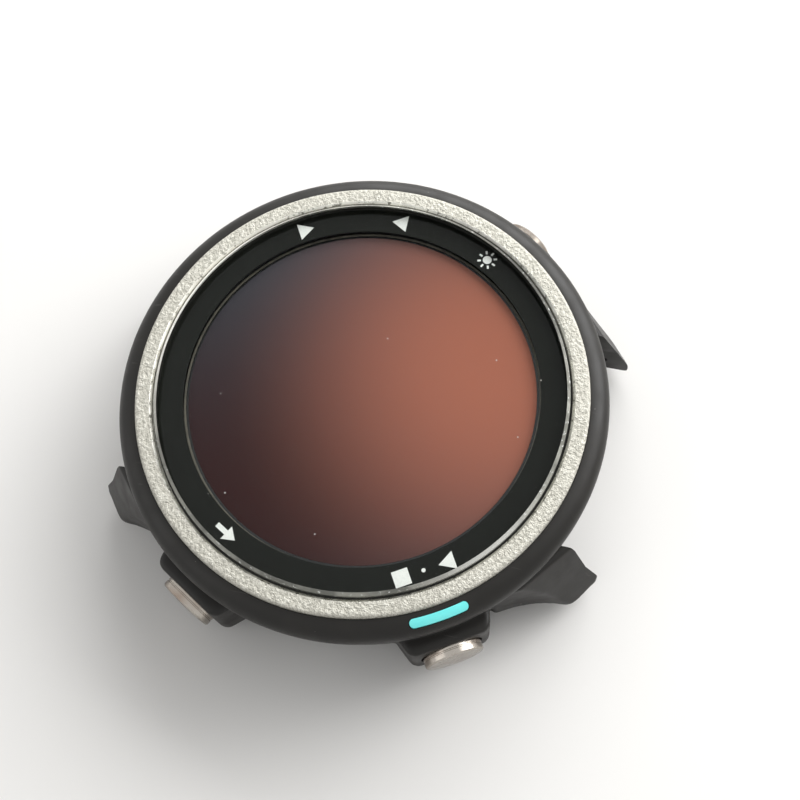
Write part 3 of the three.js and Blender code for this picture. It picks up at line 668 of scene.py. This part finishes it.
# ---- Bezel ring ----
# A fibre-reinforced ring in grey metallic paint, which covers a pebbled moulded texture. Its outer
# edge is rounded, and the small chamfer beside the glass is rubbed bare.
ring_low, ring_high = corners("bezel_ring")
ring_bottom, ring_top = ring_low[2], ring_high[2]
ring_inner = 17.92
ring_outer = ring_high[0]
round_edge = 0.34
rim = 0.19
section = [(ring_inner, ring_bottom), (ring_outer, ring_bottom)]
section.append((ring_outer, ring_top - round_edge))
edge_end = (ring_outer - round_edge, ring_top)
section += [tuple(p) for p in curve(section[-1], (ring_outer, ring_top - 0.02), edge_end)]
section += [(ring_inner + rim, ring_top), (ring_inner, ring_top - rim)]
ring_paint = Finish("ring_paint", (0.53, 0.515, 0.45), 0.45, metallic=0.1, specular=0.3)
pebbles = ring_paint.noise(0.25, 2.0, 0.55)
ring_paint.bump(pebbles, 0.20)
# The tints follow the pebbles' height: hollows painted darker and tops painted lighter, as painted
# shade and painted highlight on the relief.
ring_paint.tint(ring_paint.spread(pebbles, 0.50, 0.38, 0, 0.4), (0.27, 0.26, 0.22))
ring_paint.tint(ring_paint.spread(pebbles, 0.54, 0.64, 0, 0.4), (0.74, 0.73, 0.66))
ring_paint.dulled(ring_paint.spread(pebbles, 0.3, 0.7, 0.55, 0.38))
bare_rim = Finish("bare_rim", (0.86, 0.85, 0.79), 0.3, metallic=1.0)
bare_rim.dulled(bare_rim.spread(bare_rim.noise(0.8, 3), 0.3, 0.7, 0.2, 0.45))
bare_rim.tint(bare_rim.spread(bare_rim.noise(0.5, 3), 0.58, 0.68), (0.20, 0.195, 0.17))
ring = spun(section, 320, closed=True)
for face in ring.faces:
    spot = face.calc_center_median()
    on_rim = math.hypot(spot.x, spot.y) < ring_inner + rim and 0.1 < face.normal.z < 0.9
    face.material_index = 1 if on_rim else 0
piece("ring", ring, "head", "ring_paint", [ring_paint.material, bare_rim.material], "bezel_ring")


# ---- Cover glass ----
# A flat disc of hardened glass with a ground chamfer. The ground edge is slightly frosted and has
# caught dust and small nicks. Its tone is painted darker towards ten o'clock and paler between one
# and two and between six and seven o'clock: painted shade, a painted highlight and painted light.
glass_low, glass_high = corners("cover_glass")
glass_r = glass_high[0]
glass_bottom, glass_top = glass_low[2], glass_high[2]
chamfer = 0.28

# The pane shows what is behind it, under a faint reflection that its coating leaves.
pane = bpy.data.materials.new("clear_glass")
pane.use_nodes = True
pane_nodes, pane_links = pane.node_tree.nodes, pane.node_tree.links
pane_nodes.remove(pane_nodes["Principled BSDF"])
clear = pane_nodes.new("ShaderNodeBsdfTransparent")
clear.inputs["Color"].default_value = (0.97, 0.98, 0.975, 1)
shine = pane_nodes.new("ShaderNodeBsdfGlossy")
shine.inputs["Color"].default_value = (0.9, 0.9, 0.9, 1)
shine.inputs["Roughness"].default_value = 0.02
fresnel = pane_nodes.new("ShaderNodeFresnel")
fresnel.inputs["IOR"].default_value = 1.05
pane_side = pane_nodes.new("ShaderNodeNewGeometry")
front = pane_nodes.new("ShaderNodeMath")
front.operation = "SUBTRACT"
front.inputs[0].default_value = 1
pane_links.new(pane_side.outputs["Backfacing"], front.inputs[1])
reflected = pane_nodes.new("ShaderNodeMath")
reflected.operation = "MULTIPLY"
pane_links.new(fresnel.outputs[0], reflected.inputs[0])
pane_links.new(front.outputs[0], reflected.inputs[1])
clean = pane_nodes.new("ShaderNodeMixShader")
pane_links.new(reflected.outputs[0], clean.inputs[0])
pane_links.new(clear.outputs[0], clean.inputs[1])
pane_links.new(shine.outputs[0], clean.inputs[2])

# A few pale specks of dust lie on it.
speck_spacing, speck_r = 3.2, 0.0768
specks = pane_nodes.new("ShaderNodeTexVoronoi")
specks.inputs["Scale"].default_value = 1 / (speck_spacing * mm)
pane_place = pane_nodes.new("ShaderNodeTexCoord")
pane_links.new(pane_place.outputs["Object"], specks.inputs["Vector"])
speck = pane_nodes.new("ShaderNodeMapRange")
speck.inputs["From Min"].default_value = speck_r / speck_spacing
speck.inputs["From Max"].default_value = speck_r / speck_spacing / 2
pane_links.new(specks.outputs["Distance"], speck.inputs["Value"])
grit = pane_nodes.new("ShaderNodeBsdfDiffuse")
grit.inputs["Color"].default_value = (0.62, 0.60, 0.57, 1)
dusty = pane_nodes.new("ShaderNodeMixShader")
pane_links.new(speck.outputs["Result"], dusty.inputs[0])
pane_links.new(clean.outputs[0], dusty.inputs[1])
pane_links.new(grit.outputs[0], dusty.inputs[2])
pane_links.new(dusty.outputs[0], pane_nodes["Material Output"].inputs["Surface"])

ground = Finish("ground_glass_edge", (0.16, 0.16, 0.14), 0.3)
wear = ground.noise(2.4, 2.0)
ground.tint(ground.spread(wear, 0.42, 0.58), (0.34, 0.34, 0.30))
# Painted light on the ground edge: painted shade towards ten o'clock, a painted highlight between
# one and two o'clock, and a broad pale band of painted light between six and seven o'clock.
ground.tint(ground.near((-14, 11), 17), (0.035, 0.035, 0.03))
ground.tint(ground.near((12, 13), 8), (0.60, 0.60, 0.56))
ground.tint(ground.near((-5, -17), 17), (0.90, 0.88, 0.82))
nicks = ground.noise(0.30, 3.0, 0.65)
ground.tint(ground.spread(nicks, 0.61, 0.67), (0.74, 0.75, 0.72))
ground.bump(nicks, 0.03)
disc = [(0, glass_bottom), (glass_r, glass_bottom), (glass_r, glass_top - chamfer)]
glass = spun([*disc, (glass_r - chamfer, glass_top), (0, glass_top)], 320)
for face in glass.faces:
    spot = face.calc_center_median()
    on_edge = math.hypot(spot.x, spot.y) > glass_r - chamfer
    face.material_index = 1 if on_edge and abs(face.normal.z) < 0.99 else 0
piece("glass", glass, "head", "cover_glass", [pane, ground.material], "cover_glass")


# ---- Printed border and marks ----
# Black ink is printed on the underside of the glass, round the display. The function of each
# button is printed in white beside it, as a plain mark.
border_low, border_high = corners("glass_border")
border_inner, border_outer = 15.27, border_high[0]
border_bottom, border_top = border_low[2], border_high[2] - 0.01
border_ink = Finish("border_ink", (0.0085, 0.0090, 0.0075), 0.08, specular=0.17)
clouds = border_ink.noise(2.5, 4)
border_ink.tint(border_ink.spread(clouds, 0.4, 0.8, 0, 0.4), (0.012, 0.013, 0.011))
border_ink.dulled(border_ink.spread(border_ink.noise(0.9), 0.3, 0.7, 0.06, 0.10))
band = [(border_inner, border_bottom), (border_outer, border_bottom)]
band += [(border_outer, border_top), (border_inner, border_top)]
border = spun(band, 320, closed=True)
piece("border", border, "head", "border_ink", border_ink.material, "glass_border")

mark_r = 16.39
mark_low, mark_high = glass_bottom - 0.025, glass_bottom - 0.01
mark_scale = 0.85
white_ink = Finish("white_ink", (0.78, 0.78, 0.75), 0.45)
white_ink.tint(white_ink.spread(white_ink.noise(0.12, 3), 0.5, 0.75, 0, 0.35), (0.5, 0.5, 0.48))
white_ink.bump(white_ink.noise(0.05, 2), 0.001)


def dot(radius):
    """A small disc's outline."""
    return [polar(radius, math.radians(15 * i)) for i in range(24)]


def strip(x0, y0, x1, y1):
    """A rectangle's outline."""
    return [(x0, y0), (x1, y0), (x1, y1), (x0, y1)]


def sun():
    """A disc with eight short rays."""
    shapes = [dot(0.46)]
    for i in range(8):
        out = polar(1, i * math.pi / 4)
        side = Vector((-out.y, out.x))
        shapes.append([out * a + side * b for a, b in strip(0.66, -0.1, 1.02, 0.1)])
    return shapes


# Each mark is drawn with its top towards +X and its reading direction towards -Y.
marks = {
    "start": (30, [[(-0.9, 3.1), (0.9, 3.1), (0, 1.5)], dot(0.2), strip(-0.8, -3.0, 0.8, -1.4)]),
    "back": (-31, [[(-0.8, 0.15), (0.8, 0.15), (0, 1.35)], strip(-0.26, -1.1, 0.26, 0.15)]),
    "light": (149, sun()),
    "up": (179.5, [[(-0.95, -0.75), (0.95, -0.75), (0, 0.85)]]),
    "down": (209.5, [[(-0.95, 0.75), (0.95, 0.75), (0, -0.85)]]),
}
for name, (angle, outlines) in marks.items():
    mark = bmesh.new()
    for outline in outlines:
        part = bpy.data.meshes.new("part")
        flat = raised(outline, mark_low, mark_high)
        flat.to_mesh(part)
        flat.free()
        mark.from_mesh(part)
        bpy.data.meshes.remove(part)
    bmesh.ops.scale(mark, vec=(mark_scale, mark_scale, 1), verts=mark.verts)
    bmesh.ops.translate(mark, vec=(mark_r, 0, 0), verts=mark.verts)
    bmesh.ops.recalc_face_normals(mark, faces=mark.faces)
    piece(name + "_mark", turned(mark, angle), "head", "border_ink", white_ink.material)


# ---- Display ----
# A round transflective display in a black tray. Switched off, its coated film is slate grey; the
# dark brown at four o'clock and the copper towards twelve are painted reflections of warm light.
panel_low, panel_high = corners("display_panel")
panel_r = panel_high[0]
panel_bottom, panel_top = panel_low[2], panel_high[2]
active_r = 14.95
screen_bottom = panel_top - 0.04
cut_r = 15.16
film = Finish("display_film", (0.040, 0.054, 0.068), 0.10, specular=0.20)
# Painted reflection: dark brown towards four o'clock and copper towards twelve, painted into the
# film's colour.
film.tint(film.near((15, -10), 42), (0.026, 0.007, 0.007))
film.tint(film.near((-5, 12), 28), (0.33, 0.112, 0.072))
film.dulled(film.spread(film.noise(1.6), 0.3, 0.7, 0.09, 0.12))
sheet = [(0, screen_bottom), (active_r, screen_bottom), (active_r, panel_top), (0, panel_top)]
piece("screen", spun(sheet, 320), "head", "display", film.material)

dark_edge = Finish("display_edge", (0.008, 0.008, 0.008), 0.25)
dark_edge.bump(dark_edge.noise(0.2, 3), 0.003)
dark_edge.tint(dark_edge.spread(dark_edge.noise(0.8), 0.5, 0.8, 0, 0.5), (0.02, 0.019, 0.018))
cut_edge = Finish("display_cut_edge", (0.135, 0.122, 0.098), 0.4)
cut_edge.tint(cut_edge.spread(cut_edge.noise(0.7), 0.4, 0.7), (0.08, 0.074, 0.062))
cut_edge.bump(cut_edge.noise(0.15, 3), 0.003)
well_r, well_floor = active_r + 0.01, screen_bottom - 0.01
stack = [(0, panel_bottom), (panel_r, panel_bottom), (panel_r, panel_top - 0.03)]
stack += [(panel_r - 0.04, panel_top), (cut_r, panel_top), (well_r, panel_top)]
panel = spun([*stack, (well_r, well_floor), (0, well_floor)], 320)
for face in panel.faces:
    spot = face.calc_center_median()
    on_cut = math.hypot(spot.x, spot.y) > cut_r and face.normal.z > 0.1
    face.material_index = 1 if on_cut else 0
looks = [dark_edge.material, cut_edge.material]
piece("panel", panel, "head", "display", looks, "display_panel")

tray_low, tray_high = corners("display_carrier")
tray_r, tray_inner, tray_wall = tray_high[0], 10.15, 15.52
tray_bottom, tray_floor = tray_low[2], tray_low[2] + 0.5
flex_slot = block((-3.3, -15.17, 8.5), (3.3, -14.17, 11.2))
cup = [(tray_inner, tray_bottom), (tray_r, tray_bottom), (tray_r, panel_top)]
cup += [(tray_wall, panel_top), (tray_wall, tray_floor), (tray_inner, tray_floor)]
tray = combined(spun(cup, closed=True), "DIFFERENCE", flex_slot)
tray_polymer = Finish("tray_polymer", (0.016, 0.016, 0.016), 0.5)
tray_polymer.bump(tray_polymer.noise(0.15, 3), 0.006)
tray_polymer.tint(tray_polymer.spread(tray_polymer.noise(1.5), 0.4, 0.8), (0.03, 0.03, 0.03))
piece("display_tray", tray, "head", "carrier", tray_polymer.material, "display_carrier")


# ---- Buttons ----
# Each button is one stainless turning: a domed cap, a stem with grooves for its seal and clip, and
# a pin that works the switch. The cap is polished and shows fine turning lines and wear, with
# brown patches painted in at random as a painted reflection of warm brown surroundings.
button_low, button_high = corners("up_button")
cap_r = round((button_high[2] - button_low[2]) / 2, 3)
cap_face, pin_end = -button_low[0], -button_high[0]
cap_back = cap_face - 1.6
cap_recess, recess_r = 22.1, 2.225
pin_r, pin_root = 0.55, 15.9
stem_r = 1.1
clip_groove_r, clip_from, clip_to = 0.8, 16.22, 16.58
seal_groove_r, seal_from, seal_to = 0.76, 18.15, 18.75
line_at = 22.38
steel = Finish("button_steel", (0.40, 0.37, 0.33), 0.2, metallic=1.0)
lines = steel.noise(0.25, 3, place=steel.stretched((1, 1, 0.35)))
steel.bump(lines, 0.004)
steel.dulled(steel.spread(steel.noise(0.8, 4), 0.3, 0.75, 0.14, 0.34))
# Brown patches at random: a painted reflection of warm brown surroundings in the polished steel.
steel.tint(steel.spread(steel.noise(2.6, 1), 0.40, 0.62, 0, 0.6), (0.24, 0.165, 0.12))
steel.tint(steel.spread(steel.noise(0.4, 3), 0.55, 0.80, 0, 0.3), (0.20, 0.17, 0.14))


def button_turning():
    """The steel's outline, from the pin's end out to the middle of the cap's face."""
    pin = [(0, pin_end), (pin_r - 0.05, pin_end), (pin_r, pin_end + 0.05), (pin_r, pin_root)]
    stem = [(stem_r - 0.1, pin_root), (stem_r, pin_root + 0.1), (stem_r, clip_from)]
    stem += [(clip_groove_r, clip_from), (clip_groove_r, clip_to), (stem_r, clip_to)]
    stem += [(stem_r, seal_from), (seal_groove_r, seal_from), (seal_groove_r, seal_to)]
    stem.append((stem_r, seal_to))
    skirt = [(stem_r, cap_recess), (recess_r, cap_recess), (recess_r, cap_back)]
    skirt += [(cap_r - 0.075, cap_back), (cap_r, cap_back + 0.08)]
    line = [(cap_r, line_at - 0.08), (cap_r - 0.05, line_at - 0.04)]
    line += [(cap_r - 0.05, line_at + 0.04), (cap_r, line_at + 0.08)]
    dome = [(cap_r, cap_face - 0.27), (cap_r - 0.13, cap_face - 0.135), (1.9, cap_face - 0.075)]
    dome += [(1.2, cap_face - 0.03), (0.6, cap_face - 0.007), (0, cap_face)]
    return pin + stem + skirt + line + dome


for name, angle in button_angles.items():
    button = turned(along_x(spun(button_turning(), 96)), angle, button_z)
    look, node = steel.material, name + "_button"
    piece(name + "_cap", button, name + "_press", "button_steel", look, node, smooth=32)


# ---- Rear cover, sensor window, contacts and screws ----
# The back is a round black cover on a gasket, held by four star-socket screws. In its middle a
# tinted window stands proud over the pulse sensor, and four gold contacts take the charger.
cover_low, cover_high = corners("rear_cover")
cover_r = cover_high[0]
cover_bottom, cover_top = cover_low[2], cover_high[2]
flange_z = 1.2
_, window_high = corners("sensor_window")
window_r, window_top = window_high[0], window_high[2]
board_r, sill_r, sill_z = 8.1, 8.05, 1.45
head_room_r, contact_hole_r = 1.45, 0.85
dish = [(window_r + 0.1, cover_bottom), (10.4, cover_bottom), (12.6, flange_z)]
dish += [(cover_r, flange_z), (cover_r, cover_top), (board_r, cover_top), (board_r, sill_z)]
dish += [(sill_r, sill_z), (sill_r, window_top + 0.02), (window_r + 0.1, window_top + 0.02)]
cover = eased(spun(dish, closed=True), 0.1)
for angle in screw_angles:
    head_room = screw_hole(angle, head_room_r, 0.5, flange_z + 0.7)
    shank_hole = screw_hole(angle, shank_hole_r, 1.0, 3.0)
    cover = combined(cover, "DIFFERENCE", head_room, shank_hole)
contact_places = [middle(f"charge_contact_{i}")[:2] for i in (1, 2, 3, 4)]
for x, y in contact_places:
    hole = spun([(0, 0.5), (contact_hole_r, 0.5), (contact_hole_r, 3), (0, 3)], 32)
    bmesh.ops.translate(hole, vec=(x, y, 0), verts=hole.verts)
    cover = combined(cover, "DIFFERENCE", hole)
cover_polymer = moulded_polymer("cover_polymer")
piece("back_cover", cover, "head", "case_polymer", cover_polymer, "rear_cover", smooth=25)

tinted = Finish("tinted_window", (0.004, 0.006, 0.005), 0.06)
tinted.dulled(tinted.spread(tinted.noise(1.2), 0.3, 0.7, 0.04, 0.12))
tinted.bump(tinted.noise(2.5), 0.004)
crown = [(0, 0), (window_r - 0.3, 0), (window_r - 0.15, 0.05), (window_r - 0.05, 0.15)]
crown += [(window_r, 0.3), (window_r, window_top), (0, window_top)]
piece("back_window", spun(crown), "head", "sensor_window", tinted.material, "sensor_window")

gold = Finish("gold_plate", (0.83, 0.60, 0.24), 0.22, metallic=1.0)
gold.dulled(gold.spread(gold.noise(0.4, 3), 0.3, 0.7, 0.16, 0.36))
gold.bump(gold.noise(0.15, 2), 0.003)
contact_low, contact_high = corners("charge_contact_1")
contact_face, contact_top = contact_low[2], contact_high[2]
contact_r, head_r, head_z = 0.75, 1.0, contact_high[2] - 0.18
for i, (x, y) in enumerate(contact_places, 1):
    pin = [(0, contact_face), (contact_r - 0.13, contact_face), (contact_r, contact_face + 0.1)]
    pin += [(contact_r, head_z), (head_r, head_z), (head_r, contact_top), (0, contact_top)]
    pin = spun(pin, 48)
    bmesh.ops.translate(pin, vec=(x, y, 0), verts=pin.verts)
    piece(f"contact_{i}", pin, "head", "contact", gold.material, f"charge_contact_{i}")

screw_steel = Finish("screw_steel", (0.50, 0.50, 0.49), 0.3, metallic=1.0)
screw_steel.bump(screw_steel.noise(0.2, 3), 0.004)
screw_steel.dulled(screw_steel.spread(screw_steel.noise(0.5, 3), 0.3, 0.7, 0.22, 0.42))


def star_socket():
    """A six-pointed socket, round in its points and hollows."""
    turns = [math.radians(5 * i) for i in range(72)]
    outline = [polar(0.56 + 0.09 * math.cos(6 * t), t) for t in turns]
    return raised(outline, 0.5, flange_z + 0.5)


screw_low, screw_high = corners("rear_screw_1")
screw_face, screw_tip = screw_low[2], screw_high[2]
screw_head_r, shank_r, under_head = 1.3, 0.6, 1.88
for i, angle in enumerate(screw_angles, 1):
    head = [(0, screw_face), (screw_head_r - 0.2, screw_face)]
    head += [(screw_head_r - 0.05, screw_face + 0.05), (screw_head_r, screw_face + 0.17)]
    head += [(screw_head_r, under_head), (shank_r, under_head)]
    shank = [(shank_r, screw_tip - 0.1), (shank_r - 0.1, screw_tip), (0, screw_tip)]
    screw = combined(spun(head + shank, 48), "DIFFERENCE", star_socket())
    bmesh.ops.translate(screw, vec=(screw_r, 0, 0), verts=screw.verts)
    look, node = screw_steel.material, f"rear_screw_{i}"
    piece(f"cover_screw_{i}", turned(screw, angle), "head", "screw", look, node)


# ---- Inside ----
# Boards, battery, motor, seals, clips and switches keep their CAD shapes. Each gets the finish of
# the real thing: solder mask, tinned shields, foil, rubber, wire and moulded plastic.
def dress(look, *nodes):
    """Gives CAD pieces that stay as they are their finish."""
    for node in nodes:
        mesh = frame["nodes"][node].data
        mesh.materials.clear()
        mesh.materials.append(look.material)


def plain(name, colour, roughness, other, size, metallic=0.0, depth=0.004):
    """A finish with a second tone in cloudy patches and a fine grain."""
    look = Finish(name, colour, roughness, metallic)
    look.tint(look.spread(look.noise(size, 4), 0.4, 0.75), other)
    look.dulled(look.spread(look.noise(size * 0.6), 0.3, 0.7, roughness * 0.8, roughness * 1.2))
    look.bump(look.noise(size * 0.2, 2), depth)
    return look


names = list(button_angles)
solder_mask = Finish("solder_mask", (0.012, 0.075, 0.035), 0.35)
tracks = solder_mask.cells(1.1, "DISTANCE_TO_EDGE").outputs["Distance"]
solder_mask.tint(solder_mask.spread(tracks, 0.09, 0.06), (0.03, 0.14, 0.06))
pads = solder_mask.cells(0.9).outputs["Distance"]
solder_mask.tint(solder_mask.spread(pads, 0.16, 0.13), (0.70, 0.52, 0.22))
solder_mask.bump(tracks, 0.01)
dress(solder_mask, "main_board", "sensor_board")
shields = plain("tinned_shield", (0.48, 0.48, 0.47), 0.32, (0.36, 0.36, 0.36), 1.5, 1.0)
dress(shields, "processor_shield", "gps_receiver", "vibration_motor")
antenna = plain("copper_antenna", (0.80, 0.56, 0.25), 0.3, (0.62, 0.40, 0.18), 1.2, 1.0)
dress(antenna, "antenna_ring")
foil = plain("battery_foil", (0.52, 0.53, 0.54), 0.34, (0.40, 0.41, 0.43), 2.5, 0.9, 0.02)
dress(foil, "battery")
chassis = plain("frame_polymer", (0.045, 0.048, 0.052), 0.55, (0.07, 0.072, 0.076), 1.5)
dress(chassis, "inner_frame")
ribbon = plain("flex_film", (0.42, 0.16, 0.035), 0.3, (0.30, 0.10, 0.02), 1.2)
dress(ribbon, "display_flex")
diffuser = plain("diffuser", (0.72, 0.72, 0.68), 0.5, (0.62, 0.62, 0.60), 2.0)
dress(diffuser, "display_backlight")
tape = plain("foam_tape", (0.010, 0.010, 0.010), 0.85, (0.02, 0.02, 0.02), 0.4)
dress(tape, "glass_bond")
leds = plain("led_lens", (0.25, 0.66, 0.24), 0.2, (0.42, 0.80, 0.36), 0.6)
dress(leds, "green_led_1", "green_led_2", "green_led_3")
diodes = plain("photodiode_face", (0.014, 0.018, 0.026), 0.15, (0.03, 0.035, 0.05), 0.7)
dress(diodes, "photodiode_1", "photodiode_2")
rubber = plain("seal_rubber", (0.009, 0.009, 0.009), 0.75, (0.02, 0.02, 0.019), 0.5)
dress(rubber, "rear_gasket", *[n + "_seal" for n in names])
wire = plain("spring_wire", (0.55, 0.55, 0.53), 0.3, (0.42, 0.42, 0.40), 0.4, 1.0)
dress(wire, *[n + "_clip" for n in names])
switch = plain("switch_body", (0.018, 0.018, 0.020), 0.5, (0.035, 0.035, 0.036), 0.8)
dress(switch, *[n + "_switch" for n in names])


# ---- Return springs ----
# Each button's coil of steel wire is wound between the counterbore of its housing and the recess
# under its cap. In the watch it pushes the cap out again; here it keeps its resting length.
wire_r = 0.15
coil_r = 1.6625
coil_turns, coil_steps = 2.25, 90
coil_gap = 0.05
room = cap_recess - counterbore_floor
for name, angle in button_angles.items():
    coil = bmesh.new()
    bmesh.ops.create_circle(coil, segments=14, radius=wire_r)
    first = (counterbore_floor + wire_r + coil_gap, coil_r, 0)
    bmesh.ops.translate(coil, vec=first, verts=coil.verts)
    rise = room - 2 * wire_r - 2 * coil_gap
    bmesh.ops.spin(
        coil,
        geom=coil.verts[:] + coil.edges[:],
        axis=(1, 0, 0),
        cent=(0, 0, 0),
        dvec=(rise / coil_steps, 0, 0),
        angle=math.radians(360 * coil_turns),
        steps=coil_steps,
    )
    bmesh.ops.holes_fill(coil, edges=[e for e in coil.edges if e.is_boundary])
    bmesh.ops.recalc_face_normals(coil, faces=coil.faces)
    turned(coil, angle, button_z)
    spring = piece(name + "_coil", coil, "head", "spring_steel", wire.material, name + "_spring")
    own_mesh(spring)
